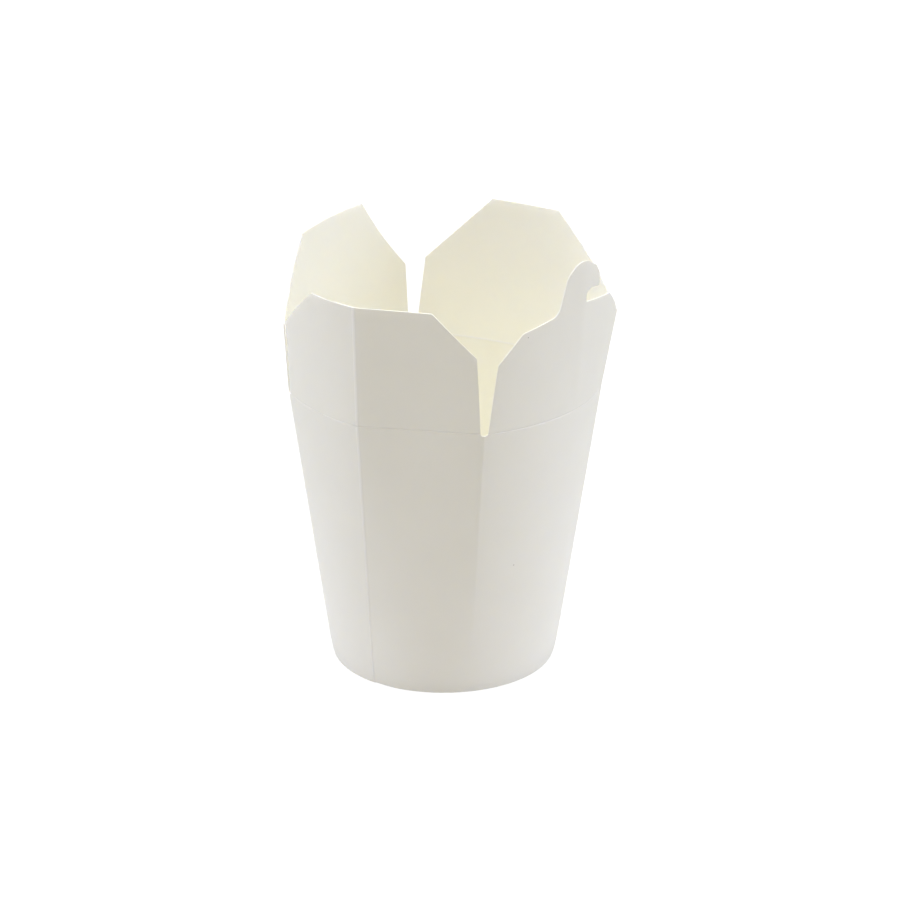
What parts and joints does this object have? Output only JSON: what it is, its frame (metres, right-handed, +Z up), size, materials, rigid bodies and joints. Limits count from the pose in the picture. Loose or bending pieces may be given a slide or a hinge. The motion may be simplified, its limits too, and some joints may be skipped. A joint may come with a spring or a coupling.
{
  "type": "paperboard takeaway kebab box",
  "caption": "Empty open paperboard takeaway box with a round folded foot, a flared side wall and closing flaps hinged at its rim.",
  "frame": {"origin": "middle of the box's overall width and depth, on the surface that it stands on", "axes": "+Z up through the open top; -Y towards the flap with the glued seam, +X towards the flap with the hook tab"},
  "size_m": [0.1167, 0.115, 0.1601],
  "materials": {
    "coated_board": "white clay-coated board outside, ivory film inside, satin",
    "base_board": "ivory coated board, satin"
  },
  "bodies": {
    "box": {"wall": "coated_board", "base": "base_board"},
    "front_flap": {"flap_front": "coated_board"},
    "right_flap": {"flap_right": "coated_board"},
    "back_flap": {"flap_back": "coated_board"},
    "left_flap": {"flap_left": "coated_board"}
  },
  "joints": [
    {"name": "front_fold", "type": "hinge", "parent": "box", "child": "front_flap", "pos_m": [-0.00415, -0.03774, 0.1036], "axis": [-1, 0, 0], "range_deg": [0, 84]},
    {"name": "right_fold", "type": "hinge", "parent": "box", "child": "right_flap", "pos_m": [0.03602, 0.00243, 0.1036], "axis": [0, -1, 0], "range_deg": [0, 55]},
    {"name": "back_fold", "type": "hinge", "parent": "box", "child": "back_flap", "pos_m": [-0.00415, 0.0421, 0.1036], "axis": [1, 0, 0], "range_deg": [0, 98]},
    {"name": "left_fold", "type": "hinge", "parent": "box", "child": "left_flap", "pos_m": [-0.04406, 0.00243, 0.1036], "axis": [0, 1, 0], "range_deg": [0, 55]}
  ]
}
